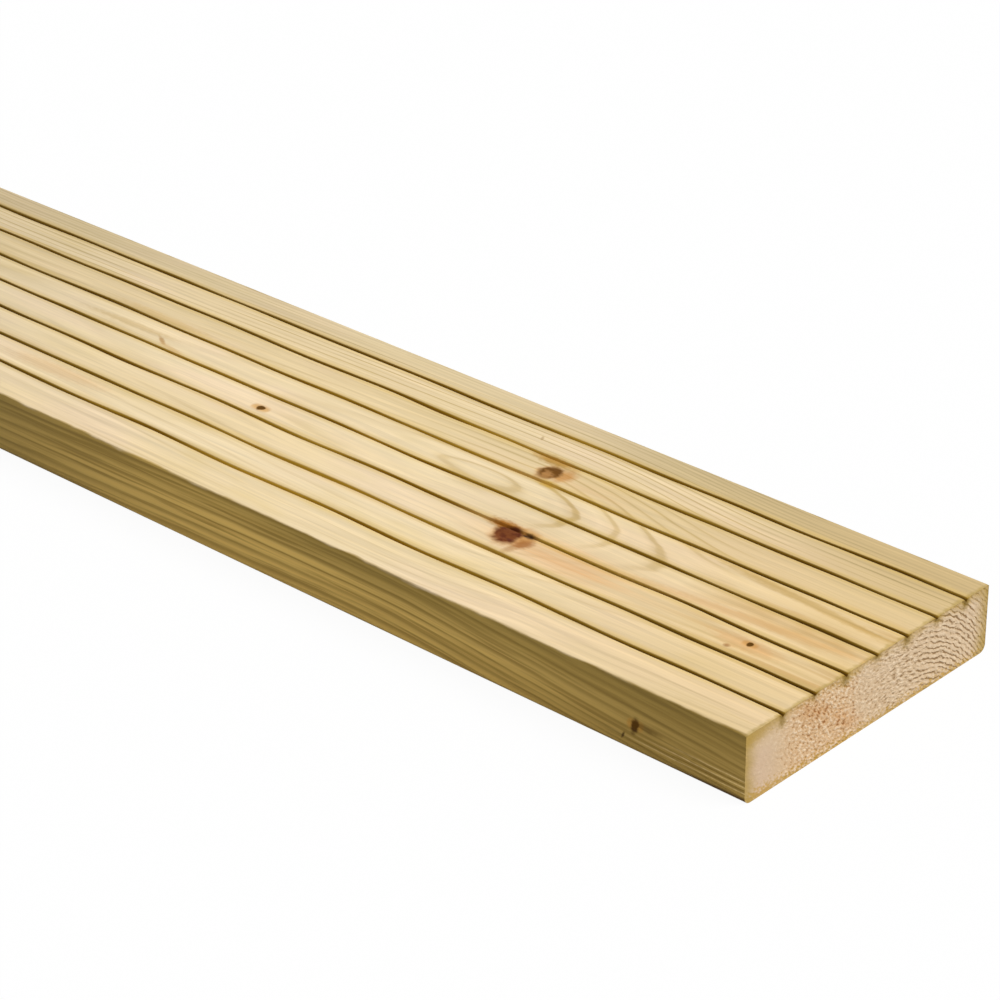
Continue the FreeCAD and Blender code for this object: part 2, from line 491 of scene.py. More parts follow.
def empty_tree(owner):
    """The node tree of a new material or world, with nothing in it."""
    owner.use_nodes = True
    owner.node_tree.nodes.clear()
    return owner.node_tree


def stretched(tree, place, sizes, detail=2.0, turn=0):
    """Noise whose grains have the given sizes along the board, across it and up, in millimetres, and may be
    turned about the board's length, in degrees."""
    turned = (math.radians(turn), 0, 0)
    scaled = add(tree, "Mapping TEXTURE", place, Rotation=turned, Scale=sizes)
    return add(tree, "TexNoise", Vector=scaled, Scale=1.0, Detail=detail)


def roughened(tree, value, texture, amount):
    """A value that a texture moves up and down, by half the amount at most."""
    signed = add(tree, "Math SUBTRACT", texture, 0.5)
    return add(tree, "Math MULTIPLY_ADD", signed, amount, value)


def pattern(tree):
    """The wood's pattern through the whole board, as sockets and nodes by name."""
    place = add(tree, "VectorMath SCALE", add(tree, "TexCoord").outputs["Object"], 1 / MM)
    spot = add(tree, "SeparateXYZ", place)
    rings = add(tree, "Attribute growth_rings").outputs["Vector"]
    rings_apart = add(tree, "SeparateXYZ", rings)
    # Rings waver by up to 0.15 of their width, over about 45 mm
    ring = roughened(tree, rings_apart.outputs["X"], stretched(tree, place, (45, 7, 7)), 0.3)
    through_ring = add(tree, "Math FRACT", ring)
    latewood = add(tree, "FloatCurve", Value=through_ring)
    curve = latewood.mapping.curves[0]
    # Wide pale earlywood darkens outwards into a thin latewood line
    for through, dark in ((0.12, 0.06), (0.55, 0.05), (0.78, 0.4), (0.91, 1.0), (0.97, 0.65)):
        curve.points.new(through, dark)
    curve.points[0].location = (0, 0.35)
    curve.points[-1].location = (1, 0.35)
    latewood.mapping.update()
    year = add(tree, "TexWhiteNoise 1D", W=add(tree, "Math FLOOR", ring))
    from_end = add(tree, "Math SUBTRACT", LENGTH / 2, spot.outputs["X"])
    # Streaks that follow the rings, about half a ring wide and 200 mm long
    along = add(tree, "Math DIVIDE", from_end, 200)
    grain = add(tree, "TexNoise", Vector=add(tree, "CombineXYZ", ring, along), Scale=2.0, Detail=3.0)
    from_first_groove = add(tree, "Math SUBTRACT", spot.outputs["Y"], first_groove)
    middle_of_grooves = (groove_middles[0] + groove_middles[-1]) / 2
    half_grooved = GROOVE_PITCH * GROOVE_COUNT / 2
    return {
        "place": place,
        "across": spot.outputs["Y"],
        "height": spot.outputs["Z"],
        "depth": add(tree, "Math SUBTRACT", THICKNESS, spot.outputs["Z"]),
        "from_end": from_end,
        "from_cut": add(tree, "Math PINGPONG", from_end, LENGTH / 2),
        "from_groove": add(tree, "Math PINGPONG", from_first_groove, GROOVE_PITCH / 2),
        "grooved": add(tree, "Math COMPARE", spot.outputs["Y"], middle_of_grooves, half_grooved),
        "rings": rings,
        "ring": ring,
        "through_ring": through_ring,
        "latewood": latewood,
        "year": year.outputs["Value"],
        "grain": grain,
    }


# Planed treated pine
# Planer knives leave the lands smooth and matt, with cream earlywood, tan latewood lines and fine fibres;
# the treatment greens the long edges, and collects brown in the grooves.
planed = bpy.data.materials.new("planed_treated_pine")
tree = empty_tree(planed)
wood = pattern(tree)
around = add(tree, "SeparateXYZ", add(tree, "Attribute around_knots").outputs["Vector"])
give = add(tree, "Attribute fibre_shift").outputs["Fac"]
waver = add(tree, "Math SUBTRACT", stretched(tree, wood["place"], (80, 30, 30)), 0.5)
waver = add(tree, "Math MULTIPLY", waver, 4.0)
flow = add(tree, "CombineXYZ", 0.0, add(tree, "Math ADD", give, waver), waver)
flowing = add(tree, "VectorMath ADD", wood["place"], flow)
# Patterns by their sizes along, across and up, in millimetres. Single fibres are too fine to show, so they
# are drawn as strands 0.6 mm wide
fine = stretched(tree, flowing, (40, 0.6, 0.6))
streak = stretched(tree, flowing, (210, 3.4, 3.4), 3.0)
broad = stretched(tree, flowing, (330, 17, 17))
patch = stretched(tree, flowing, (70, 20, 20), 3.0)
fade = stretched(tree, flowing, (110, 10, 10))
mottle = stretched(tree, wood["place"], (4.0, 3.0, 3.0))
fleck = stretched(tree, wood["place"], (2.4, 1.2, 1.2), 3.0)

# Lands: paler in the middle of the board, duller along the back edge, yellower towards the ends, with
# rings that come and go, a blush towards the knots and a darker line along grooves and cuts
land = add(tree, "Mix RGBA", broad, colour("F6E3BE"), colour("EBD1A0"))
land = add(tree, "Mix RGBA", add(tree, "MapRange SMOOTHSTEP", patch, 0.45, 0.7, 0.0, 0.5), land,
           colour("F4DABB"))
land = add(tree, "Mix RGBA", add(tree, "MapRange SMOOTHSTEP", patch, 0.25, 0.45, 0.5, 0.0), land,
           colour("E6CD92"))
at_back = add(tree, "Math MULTIPLY", add(tree, "MapRange SMOOTHSTEP", wood["across"], 18, 58),
              add(tree, "MapRange SMOOTHSTEP", wood["from_cut"], 10, 140, 0.95, 0.0))
back_land = add(tree, "Math MULTIPLY", add(tree, "MapRange SMOOTHSTEP", wood["across"], 52, 60),
                add(tree, "MapRange SMOOTHSTEP", wood["from_cut"], 110, 220, 0.95, 0.45))
at_back = add(tree, "Math MAXIMUM", at_back, back_land)
at_back = add(tree, "Math MAXIMUM", at_back,
              add(tree, "MapRange SMOOTHSTEP", wood["across"], 14, 26, 0.0, 0.1))
land = add(tree, "Mix RGBA", at_back, land, colour("CAB68A"))
land = add(tree, "Mix RGBA", add(tree, "MapRange SMOOTHSTEP", wood["from_cut"], 0, 220, 0.4, 0.0), land,
           colour("E2BE80"))
by_knot = add(tree, "Math MULTIPLY", add(tree, "MapRange SMOOTHSTEP", wood["across"], 17, 24),
              add(tree, "MapRange SMOOTHSTEP", wood["across"], 36, 42, 0.35, 0.0))
land = add(tree, "Mix RGBA", by_knot, land, colour("E0C48A"))
tan = add(tree, "Math MULTIPLY", add(tree, "MapRange SMOOTHSTEP", wood["across"], -42, -22),
          add(tree, "MapRange SMOOTHSTEP", wood["across"], 14, 28, 1.0, 0.0))
tan = add(tree, "Math MULTIPLY", tan, add(tree, "MapRange SMOOTHSTEP", wood["from_cut"], 15, 100, 1.0, 0.0))
tan = add(tree, "Math MULTIPLY", tan, add(tree, "MapRange SMOOTHSTEP", wood["grain"], 0.42, 0.6, 0.15, 1.0))
land = add(tree, "Mix RGBA", tan, land, colour("D2A968"))
round_whorl = add(tree, "Math MULTIPLY", add(tree, "MapRange SMOOTHSTEP", wood["from_end"], 50, 100),
                  add(tree, "MapRange SMOOTHSTEP", wood["from_end"], 195, 260, 0.7, 0.15))
seen_ring = add(tree, "Math MULTIPLY", round_whorl,
                add(tree, "MapRange SMOOTHSTEP", wood["across"], -14, 2))
seen_at_back = add(tree, "Math MULTIPLY", add(tree, "MapRange SMOOTHSTEP", wood["across"], 26, 44),
                   add(tree, "MapRange SMOOTHSTEP", fade, 0.35, 0.6, 0.15, 0.75))
seen_ring = add(tree, "Math MAXIMUM", seen_ring, seen_at_back)
seen_ring = add(tree, "Math MULTIPLY", seen_ring, add(tree, "MapRange", wood["year"], 0.0, 1.0, 0.25, 1.1))
seen_ring = add(tree, "Math MAXIMUM", seen_ring,
                add(tree, "MapRange SMOOTHSTEP", fade, 0.4, 0.7, 0.05, 0.3))
drawn = add(tree, "Math MULTIPLY", wood["latewood"], seen_ring)
land = add(tree, "Mix RGBA", drawn, land,
           add(tree, "Mix RGBA", at_back, colour("BE9E5A"), colour("9C8654")))
blush = add(tree, "Math MULTIPLY",
            add(tree, "MapRange SMOOTHSTEP", around.outputs["Y"], 0.05, 0.9, 0.0, 0.75),
            add(tree, "MapRange SMOOTHSTEP", streak, 0.35, 0.6, 0.4, 1.0))
land = add(tree, "Mix RGBA", blush, land, colour("E2AA6C"))
beside_groove = add(tree, "Math MULTIPLY",
                    add(tree, "MapRange SMOOTHSTEP", wood["from_groove"], 0.9, 4.0, 0.55, 0.0),
                    wood["grooved"])
land = add(tree, "Mix RGBA", beside_groove, land, colour("D9B766"))
at_cut = roughened(tree, wood["from_cut"], mottle, 3.0)
land = add(tree, "Mix RGBA", add(tree, "MapRange SMOOTHSTEP", at_cut, 0.2, 2.0, 0.7, 0.0), land,
           colour("B59A56"))

# Long edges and underside: greened by the treatment, with dark rings, and painted shade under the upper
# arris, at the ends and far off
side = add(tree, "Mix RGBA", broad, colour("F0CC78"), colour("DEB65C"))
dark_ring = add(tree, "Math MULTIPLY", add(tree, "MapRange SMOOTHSTEP", wood["through_ring"], 0.4, 0.85),
                add(tree, "MapRange SMOOTHSTEP", wood["through_ring"], 0.88, 1.0, 1.0, 0.0))
dark_ring = add(tree, "Math MULTIPLY", dark_ring, add(tree, "MapRange", wood["year"], 0.0, 1.0, 0.3, 0.75))
dark_ring = add(tree, "Math MAXIMUM", dark_ring,
                add(tree, "MapRange SMOOTHSTEP", wood["grain"], 0.48, 0.66, 0.0, 0.6))
thin_ring = add(tree, "Math MULTIPLY", wood["latewood"],
                add(tree, "MapRange SMOOTHSTEP", fade, 0.35, 0.6, 0.3, 0.75))
dark_ring = add(tree, "Math MAXIMUM", dark_ring, thin_ring)
side = add(tree, "Mix RGBA", dark_ring, side, colour("8A6A28"))
# Painted shade: darker and more olive towards the top of the edges, under the upper arris, less so away from
# the ends
painted_shade_under_arris = add(tree, "Math MULTIPLY", add(tree, "MapRange SMOOTHSTEP", wood["depth"], 1, 16, 0.6, 0.0),
                 add(tree, "MapRange SMOOTHSTEP", wood["from_cut"], 180, 300, 1.0, 0.55))
side = add(tree, "Mix RGBA", painted_shade_under_arris, side, colour("8A7232"))
# Painted shade: darker near the ends, and darker again far along the board where the light falls off
side = add(tree, "Mix RGBA", add(tree, "MapRange SMOOTHSTEP", wood["from_cut"], 20, 150, 0.45, 0.0), side,
           colour("8F7438"))
side = add(tree, "Mix RGBA", add(tree, "MapRange SMOOTHSTEP", wood["from_cut"], 260, 420, 0.0, 0.5), side,
           colour("86703A"))
side = add(tree, "Mix RGBA", add(tree, "MapRange SMOOTHSTEP", around.outputs["Y"], 0.1, 0.6, 0.0, 0.6),
           side, colour("76551C"))
# Grain lifted by the planer low down near the ends: thin bright lines with dark ones between
LIFTED_SPACING = 2.4
lifted = add(tree, "Math MULTIPLY_ADD", wood["from_cut"], -0.02, wood["height"])
lifted = add(tree, "Math MULTIPLY_ADD", stretched(tree, wood["place"], (18, 3, 3)), 1.2, lifted)
lines = add(tree, "Math PINGPONG", add(tree, "Math ADD", lifted, 0.7), LIFTED_SPACING / 2)
torn_low = add(tree, "Math MULTIPLY", add(tree, "MapRange SMOOTHSTEP", wood["height"], 3.4, 5.0),
               add(tree, "MapRange SMOOTHSTEP", wood["height"], 9.5, 12, 1.0, 0.0))
lift_reach = add(tree, "Math MULTIPLY_ADD", wood["height"], 6.0, wood["from_cut"])
torn_low = add(tree, "Math MULTIPLY", torn_low,
               add(tree, "MapRange SMOOTHSTEP", lift_reach, 65, 105, 0.95, 0.0))
torn_low = add(tree, "Math MULTIPLY", torn_low,
               add(tree, "MapRange SMOOTHSTEP", fleck, 0.35, 0.6, 0.55, 1.0))
side = add(tree, "Mix RGBA",
           add(tree, "Math MULTIPLY", torn_low,
               add(tree, "MapRange SMOOTHSTEP", lines, 0.0, 0.45, 0.65, 0.0)), side, colour("6E5010"))
side = add(tree, "Mix RGBA",
           add(tree, "Math MULTIPLY", torn_low,
               add(tree, "MapRange SMOOTHSTEP", lines, 0.75, 1.15, 0.0, 0.85)), side, colour("F6D692"))
# Painted shade: a dark line along the lower arrises, where they turn under, most of all near the ends
apart = add(tree, "Math ABSOLUTE", wood["across"])
painted_low_shade = add(tree, "Math SUBTRACT", wood["height"],
               add(tree, "MapRange SMOOTHSTEP", wood["from_cut"], 5, 45, 0.9, 0.0))
painted_low_shade = add(tree, "Math MULTIPLY", add(tree, "MapRange SMOOTHSTEP", painted_low_shade, 1.0, 2.6, 1.0, 0.0),
               add(tree, "MapRange SMOOTHSTEP", wood["from_cut"], 10, 70, 0.9, 0.35))
painted_low_shade = add(tree, "Math MULTIPLY", painted_low_shade,
               add(tree, "MapRange SMOOTHSTEP", apart, half_width - 2.8, half_width - 1.6))
side = add(tree, "Mix RGBA", painted_low_shade, side, colour("442806"))
# The planed face's colour wanders over the upper arris by about a millimetre
arris = add(tree, "Math SUBTRACT", add(tree, "Math ADD", wood["depth"], apart), half_width)
wander = stretched(tree, wood["place"], (22, 4, 4), 3.0)
wander = roughened(tree, arris, wander, 5.0)
edge = add(tree, "MapRange SMOOTHSTEP", wander, -1.0, 1.0)
underneath = add(tree, "MapRange SMOOTHSTEP", wood["height"], 0.0, 0.3, 1.0, 0.0)
bare = add(tree, "Mix RGBA", add(tree, "Math MAXIMUM", edge, underneath), land, side)

# Grooves: the cutter bruises the wood and the treatment dries golden brown in them, darker near the ends
# and along the middle of the board, and paler round knots
stain = stretched(tree, wood["place"], (70, 6, 6), 3.0)
groove_lip = add(tree, "Mix RGBA", add(tree, "MapRange SMOOTHSTEP", stain, 0.35, 0.65), colour("CCA43C"),
                 colour("A9821C"))
groove_root = add(tree, "Mix RGBA", add(tree, "MapRange SMOOTHSTEP", stain, 0.35, 0.65), colour("AE8826"),
                  colour("805A08"))
dark_from = add(tree, "MapRange SMOOTHSTEP", wood["across"], 16, 50, 270, 180)
dark_to = add(tree, "MapRange SMOOTHSTEP", wood["across"], 16, 50, 450, 320)
dark_groove = add(tree, "MapRange", wood["from_cut"], dark_from, dark_to, 0.0, 0.85)
dark_groove = add(tree, "Math MAXIMUM", dark_groove,
                  add(tree, "MapRange SMOOTHSTEP", wood["from_cut"], 40, 200, 0.9, 0.0))
groove_root = add(tree, "Mix RGBA", dark_groove, groove_root, colour("543600"))
groove_lip = add(tree, "Mix RGBA", add(tree, "Math MULTIPLY", dark_groove, 0.6), groove_lip,
                 colour("7E5A10"))
groove_tone = add(tree, "Mix RGBA", add(tree, "MapRange SMOOTHSTEP", wood["depth"], 0.25, 1.0), groove_lip,
                  groove_root)
groove_tone = add(tree, "Mix RGBA",
                  add(tree, "MapRange SMOOTHSTEP", around.outputs["Z"], 0.1, 0.8, 0.0, 0.85), groove_tone,
                  colour("C9A15A"))
shallow = add(tree, "Math LESS_THAN", wood["depth"], GROOVE_DEPTH + 1)
in_groove = add(tree, "Math MULTIPLY", add(tree, "MapRange SMOOTHSTEP", wood["depth"], 0.05, 0.4),
                add(tree, "Math MULTIPLY", wood["grooved"], shallow))
bare = add(tree, "Mix RGBA", in_groove, bare, groove_tone)

# Knots: dense red-brown branch wood, greyer in the middle, with a soft rim and a patchy warm halo
knot_place = add(tree, "Attribute nearest_knot").outputs["Vector"]
knot = add(tree, "SeparateXYZ", knot_place)
knot_gap = add(tree, "VectorMath LENGTH",
               add(tree, "VectorMath MULTIPLY", knot_place, (1, 1, 0))).outputs["Value"]
knot_gap = add(tree, "Math MAXIMUM", knot_gap, add(tree, "Math SUBTRACT", around.outputs["X"], 0.9))
small_knot = add(tree, "MapRange SMOOTHSTEP", knot.outputs["Z"], 0.75, 0.9)
ragged = roughened(tree, knot_gap, mottle, 0.6)
rough = add(tree, "Math MULTIPLY_ADD", small_knot, 0.9, 0.08)
ragged = roughened(tree, ragged, fleck, rough)
halo_place = add(tree, "VectorMath MULTIPLY_ADD", knot_place, (1.0, 0.85, 0), (1.2, -0.25, 0))
halo_gap = add(tree, "VectorMath LENGTH", halo_place).outputs["Value"]
patchy = roughened(tree, halo_gap, mottle, 0.9)
close = add(tree, "MapRange SMOOTHSTEP", around.outputs["X"], 2.4, 3.2, 1.0, 0.0)
core = add(tree, "MapRange SMOOTHSTEP", ragged, 0.78, 1.3, 1.0, 0.0)
fringe = add(tree, "MapRange SMOOTHSTEP", ragged, 0.9, 1.6, 0.6, 0.0)
halo = add(tree, "Math MAXIMUM", add(tree, "MapRange SMOOTHSTEP", patchy, 0.3, 1.5, 0.8, 0.0), fringe)
halo = add(tree, "Math MULTIPLY", halo, close)
halo = add(tree, "Math MULTIPLY", halo, add(tree, "Math SUBTRACT", 1.0, small_knot))
smear_gap = add(tree, "VectorMath LENGTH",
                add(tree, "VectorMath MULTIPLY", knot_place, (0.4, 1, 0))).outputs["Value"]
smear = add(tree, "Math MULTIPLY", add(tree, "MapRange SMOOTHSTEP", smear_gap, 0.5, 1.9, 0.7, 0.0),
            add(tree, "Math MULTIPLY", small_knot, close))
rim_place = add(tree, "VectorMath MULTIPLY_ADD", knot_place, (1, 1, 0), (0.0, 0.35, 0))
rimmed = add(tree, "VectorMath LENGTH", rim_place).outputs["Value"]
rimmed = roughened(tree, rimmed, mottle, 1.4)
pale_knot = add(tree, "Mix RGBA", add(tree, "MapRange SMOOTHSTEP", rimmed, 0.4, 0.95), colour("AE7E46"),
                colour("6C440A"))
red_knot = add(tree, "Mix RGBA", add(tree, "MapRange SMOOTHSTEP", mottle, 0.35, 0.65), colour("5A260A"),
               colour("78401A"))
knot_tone = add(tree, "Mix RGBA", add(tree, "MapRange SMOOTHSTEP", knot.outputs["Z"], 0.4, 0.7), pale_knot,
                red_knot)
knot_tone = add(tree, "Mix RGBA", small_knot, knot_tone, colour("5E3C00"))
bare = add(tree, "Mix RGBA", halo, bare, colour("C88A40"))
bare = add(tree, "Mix RGBA", smear, bare, colour("CE943C"))

# Single marks: how far from the near end, across and up, their half lengths that way, how they are turned
# about the across and upright directions in degrees, how strong they are, and their colour. They are bark
# beside the first knot, its stain in the groove and a drying check there; the second knot's stain in the
# grooves beside it; the bark, shade and crack of the front edge's knot; resin round the speck near the end;
# the legs of a ring; three pin knots, the last with a tail; and three streaks further off.
MARKS = [
    ((146.8, -21.8, THICKNESS), (3.6, 5.6, 6.0), (0, -28), 0.75, "9C5C1C"),
    ((148.4, -28.0, THICKNESS), (2.4, 3.8, 6.0), (0, -10), 0.45, "A87024"),
    ((162.0, -14.6, THICKNESS), (10.0, 4.0, 6.0), (0, 0), 0.95, "A66818"),
    ((149.6, -15.2, THICKNESS), (4.2, 2.1, 6.0), (0, 0), 1.0, "1C0400"),
    ((183.0, 36.6, THICKNESS), (12.0, 3.8, 6.0), (0, 0), 0.85, "B88834"),
    ((172.0, 20.6, THICKNESS), (6.0, 2.8, 6.0), (0, 0), 0.95, "CFA648"),
    ((49.6, -half_width, 11.2), (2.0, 6.0, 4.0), (12, 0), 1.0, "4A2E00"),
    ((44.6, -half_width, 12.2), (7.5, 6.0, 1.4), (4, 0), 0.55, "5E4410"),
    ((55.0, -half_width, 5.6), (0.6, 6.0, 2.0), (25, 0), 0.85, "4C3206"),
    ((38.0, -23.0, THICKNESS), (18.0, 5.0, 6.0), (0, 0), 0.42, "D89C5C"),
    ((50.0, -8.4, THICKNESS), (68.0, 3.0, 6.0), (0, 4.7), 0.45, "DCAA6A"),
    ((43.0, 15.4, THICKNESS), (60.0, 2.6, 6.0), (0, -4.7), 0.6, "C8A45C"),
    ((43.5, -27.8, THICKNESS), (1.6, 1.3, 6.0), (0, 0), 0.7, "985E20"),
    ((200.0, 48.0, THICKNESS), (0.8, 2.0, 6.0), (0, 30), 0.45, "9A7030"),
    ((380.0, 8.0, THICKNESS), (5.0, 1.2, 6.0), (0, -30), 0.65, "B07A28"),
    ((372.0, 5.4, THICKNESS), (10.0, 1.6, 6.0), (0, -8), 0.4, "D0A25E"),
    ((404.0, 11.0, THICKNESS), (32.0, 2.6, 6.0), (0, 2), 0.4, "C8A45C"),
    ((391.0, -40.0, THICKNESS), (36.0, 5.0, 6.0), (0, 2), 0.35, "DCAC74"),
    ((396.0, 24.0, THICKNESS), (36.0, 2.8, 6.0), (0, 0), 0.35, "D0A64E"),
]
for (from_end, across, height), half_lengths, (tilt, turn), strength, code in MARKS:
    gap = add(tree, "Mapping TEXTURE", wood["place"], (LENGTH / 2 - from_end, across, height),
              (0, math.radians(tilt), math.radians(turn)), half_lengths)
    gap = add(tree, "VectorMath LENGTH", gap).outputs["Value"]
    gap = roughened(tree, gap, fleck, 0.8)
    bare = add(tree, "Mix RGBA", add(tree, "MapRange SMOOTHSTEP", gap, 0.3, 1.2, strength, 0.0), bare,
               colour(code))
bare = add(tree, "Mix RGBA", core, bare, knot_tone)

# Streaks, grain and fibres lighten and darken all of it a little
streaks = add(tree, "MapRange", streak, 0.3, 0.7, 0.945, 1.085)
grains = add(tree, "MapRange", wood["grain"], 0.3, 0.7, 1.04, 0.93)
pencilled = add(tree, "MapRange", stretched(tree, flowing, (150, 1.5, 1.5)), 0.3, 0.7, 0.95, 1.04)
fibres = add(tree, "Math MULTIPLY", pencilled, add(tree, "MapRange", fine, 0.25, 0.75, 0.95, 1.04))
# Painted shade: the wood darkens gradually away from the ends, as if the light fell off there
fibres_and_falloff_shade = add(tree, "Math MULTIPLY", fibres,
             add(tree, "MapRange SMOOTHSTEP", wood["from_cut"], 280, 620, 1.0, 0.79))
tone = add(tree, "VectorMath SCALE", bare,
           add(tree, "Math MULTIPLY", add(tree, "Math MULTIPLY", streaks, grains), fibres_and_falloff_shade))
relief = add(tree, "Math MULTIPLY_ADD", wood["latewood"], 0.5, fine)
bump = add(tree, "Bump", Height=relief, Strength=0.25, Distance=0.15 * MM)
shine = add(tree, "MapRange", wood["latewood"], 0.0, 1.0, 0.72, 0.6)
surface = add(tree, "BsdfPrincipled", Base_Color=tone, Roughness=shine, Normal=bump, IOR=1.5,
              Specular_IOR_Level=0.1)
add(tree, "OutputMaterial", Surface=surface)
board_mesh.materials.append(planed)

# Sawn end grain
# The cross-cut saw tears the fibres' ends into a pinkish fur, with short dark strokes along the rings
# towards the back and grains towards the front, inside a rim that the treatment has yellowed.
sawn = bpy.data.materials.new("sawn_pine_end_grain")
tree = empty_tree(sawn)
wood = pattern(tree)
# Tufts of torn fibres, drawn 1 to 2 mm wide because single fibres are too fine to show
fur = stretched(tree, wood["place"], (1.0, 1.8, 1.0), 2.0, -32)
combed = add(tree, "TexNoise", Vector=add(tree, "VectorMath MULTIPLY", wood["rings"], (2.4, 0.4, 0)),
             Scale=1.0, Detail=3.0)
blotch = stretched(tree, wood["place"], (20, 22, 9))
broken = stretched(tree, wood["place"], (5, 5, 3.5))

# Torn fibres, from pits at 0 to fur at 1: soft at the front, grains next, then strokes along the rings and,
# towards the back, wavy lines that lie a little flatter than the rings
grainy = add(tree, "MapRange SMOOTHSTEP", wood["across"], -58, -36, 0.6, 2.2)
stroked = add(tree, "MapRange SMOOTHSTEP", wood["across"], -16, 18)
lined = add(tree, "MapRange SMOOTHSTEP", wood["across"], 12, 36)
torn = roughened(tree, 0.5, fur, grainy)
torn = add(tree, "Mix", stroked, torn, add(tree, "MapRange", combed, 0.34, 0.66, 0.94, 0.06))
flatter = add(tree, "Math MULTIPLY_ADD", wood["across"], -0.1, wood["ring"])
wavy = roughened(tree, flatter, broken, 1.6)
wavy = add(tree, "Math FRACT", wavy)
line = add(tree, "Math MULTIPLY", add(tree, "MapRange SMOOTHSTEP", wavy, 0.36, 0.74),
           add(tree, "MapRange SMOOTHSTEP", wavy, 0.85, 1.0, 1.0, 0.0))
line = add(tree, "Math MULTIPLY", line, add(tree, "MapRange SMOOTHSTEP", combed, 0.3, 0.55, 0.2, 1.0))
line = add(tree, "Math MULTIPLY", line, add(tree, "MapRange", wood["year"], 0.0, 1.0, 0.45, 1.1))
torn = add(tree, "Mix", add(tree, "Math MULTIPLY", lined, 0.75), torn,
           add(tree, "Math SUBTRACT", 0.72, line))

# Their colours: pinkish at the front edge, warmer behind it, with a slanting stripe of resin
end_tone = add(tree, "Mix RGBA", blotch, colour("DEC4A2"), colour("D0B28C"))
mauve = add(tree, "Math MULTIPLY", add(tree, "MapRange SMOOTHSTEP", wood["across"], -62, -48, 0.2, 0.0),
            add(tree, "MapRange SMOOTHSTEP", wood["depth"], 6, 12))
end_tone = add(tree, "Mix RGBA", mauve, end_tone, colour("CFB0A4"))
warm = add(tree, "Math MULTIPLY", add(tree, "MapRange SMOOTHSTEP", wood["across"], -56, -40),
           add(tree, "MapRange SMOOTHSTEP", wood["across"], -16, -4, 0.45, 0.0))
end_tone = add(tree, "Mix RGBA", warm, end_tone, colour("DCAE78"))
# Painted highlight: the tips of the torn fur are paler
end_tone = add(tree, "Mix RGBA", add(tree, "MapRange SMOOTHSTEP", torn, 0.5, 0.85, 0.0, 0.75), end_tone,
               colour("F0DABB"))
slant = add(tree, "Math MULTIPLY_ADD", wood["across"], 0.586,
            add(tree, "Math SUBTRACT", wood["height"], 1.1))
slant = add(tree, "Math ABSOLUTE", slant)
resin = add(tree, "Math MULTIPLY", add(tree, "MapRange SMOOTHSTEP", slant, 0.0, 7.0, 1.0, 0.0),
            add(tree, "MapRange SMOOTHSTEP", wood["across"], -46, -34))
resin = add(tree, "Math MULTIPLY", resin,
            add(tree, "MapRange SMOOTHSTEP", wood["across"], -10, 0, 1.0, 0.0))
resin = add(tree, "Math MULTIPLY", resin, add(tree, "MapRange SMOOTHSTEP", broken, 0.35, 0.6, 0.3, 1.0))
end_tone = add(tree, "Mix RGBA", add(tree, "Math MULTIPLY", resin, 0.45), end_tone, colour("C88C48"))
# Painted shade: the pits between the tufts are darker, partly real dark latewood strokes along the rings
painted_pit_shade = add(tree, "Mix RGBA", stroked, colour("A06C34"), colour("8A683E"))
painted_pit_shade = add(tree, "Mix RGBA", resin, painted_pit_shade, colour("8E4E0C"))
end_tone = add(tree, "Mix RGBA", add(tree, "MapRange SMOOTHSTEP", torn, 0.05, 0.45, 0.85, 0.0), end_tone,
               painted_pit_shade)

# Rims that the treatment yellowed: dotted along the bottom, broad at the sides, and soaked deeper under the
# grooves and at the front, with a brown notch at each groove
from_side = add(tree, "Math SUBTRACT", half_width, add(tree, "Math ABSOLUTE", wood["across"]))
low = add(tree, "Math SUBTRACT", wood["height"],
          add(tree, "MapRange SMOOTHSTEP", wood["across"], -66, -44, 1.6, 0.0))
dotted = roughened(tree, low, fur, 14.0)
end_tone = add(tree, "Mix RGBA", add(tree, "MapRange SMOOTHSTEP", dotted, -0.5, 3.5, 0.8, 0.0), end_tone,
               colour("C29A42"))
side_rim = roughened(tree, from_side, blotch, 8.0)
end_tone = add(tree, "Mix RGBA", add(tree, "MapRange SMOOTHSTEP", side_rim, -1.0, 9.0, 0.9, 0.0), end_tone,
               colour("B4964E"))
soak = add(tree, "Math MULTIPLY", add(tree, "MapRange SMOOTHSTEP", wood["from_groove"], 0.5, 5.0, 2.0, 0.0),
           wood["grooved"])
soak = add(tree, "Math ADD", soak, add(tree, "MapRange SMOOTHSTEP", wood["across"], -64, -46, 3.5, 0.0))
top_rim = roughened(tree, add(tree, "Math SUBTRACT", wood["depth"], soak), blotch, 9.0)
top_rim = roughened(tree, top_rim, fur, 3.0)
end_tone = add(tree, "Mix RGBA", add(tree, "MapRange SMOOTHSTEP", top_rim, -2.5, 5.0, 0.85, 0.0), end_tone,
               colour("B6954A"))
notch = add(tree, "Math MULTIPLY",
            add(tree, "MapRange SMOOTHSTEP", wood["from_groove"], 0.6, 3.0, 0.75, 0.0),
            add(tree, "MapRange SMOOTHSTEP", top_rim, -1.0, 3.5, 1.0, 0.0))
end_tone = add(tree, "Mix RGBA", add(tree, "Math MULTIPLY", notch, wood["grooved"]), end_tone,
               colour("80641E"))

bump = add(tree, "Bump", Height=torn, Strength=0.6, Distance=0.5 * MM)
surface = add(tree, "BsdfPrincipled", Base_Color=end_tone, Roughness=0.85, Normal=bump, IOR=1.5,
              Specular_IOR_Level=0.2)
add(tree, "OutputMaterial", Surface=surface)
board_mesh.materials.append(sawn)

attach(board, "root")
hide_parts("decking_board")

